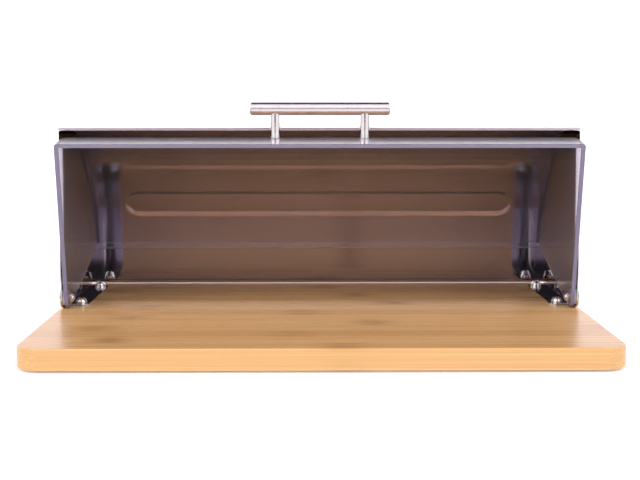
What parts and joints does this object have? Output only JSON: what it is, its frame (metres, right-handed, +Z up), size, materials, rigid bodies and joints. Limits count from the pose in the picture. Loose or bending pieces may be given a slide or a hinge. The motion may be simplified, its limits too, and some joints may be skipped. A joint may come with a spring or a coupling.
{
  "type": "bread bin",
  "caption": "Bread bin with a wooden board base, a quarter-round steel housing and a tinted clear hood that swings down on side pivots, with a steel bar handle.",
  "frame": {"origin": "centre of the footprint, on the surface that the feet stand on", "axes": "+X to the right, +Y to the back (the housing's side), +Z up; the hood is open at rest"},
  "size_m": [0.3808, 0.275, 0.1653],
  "materials": {
    "bamboo": "laminated bamboo, clear satin lacquer, grain left to right",
    "steel_sheet": "fine horizontal brushing under a polish, close to a mirror",
    "panel_steel": "polished, with a fine grain",
    "smoke_plastic": "clear, smoke-lavender tint, polished",
    "handle_steel": "satin, turned",
    "fastener_steel": "bright plated",
    "nylon": "natural nylon",
    "rubber": "matt black"
  },
  "bodies": {
    "base": {"base_board": "bamboo", "rubber_feet": "rubber", "rear_shell": "steel_sheet", "side_panel_left": "panel_steel", "side_panel_right": "panel_steel", "flange_screws_left": "fastener_steel", "flange_screws_right": "fastener_steel", "pivot_bolt_left": "fastener_steel", "pivot_bolt_right": "fastener_steel", "pivot_spacer_left": "nylon", "pivot_spacer_right": "nylon", "pivot_washer_left": "fastener_steel", "pivot_washer_right": "fastener_steel", "cap_nut_left": "fastener_steel", "cap_nut_right": "fastener_steel"},
    "lid": {"lid_hood": "smoke_plastic", "handle_bar": "handle_steel", "handle_post_left": "handle_steel", "handle_post_right": "handle_steel", "handle_washer_left": "fastener_steel", "handle_washer_right": "fastener_steel", "handle_screw_left": "fastener_steel", "handle_screw_right": "fastener_steel"}
  },
  "joints": [
    {"name": "lid_hinge", "type": "hinge", "parent": "base", "child": "lid", "pos_m": [0, 0.0095, 0.0233], "axis": [1, 0, 0], "range_deg": [0, 78.12]}
  ]
}
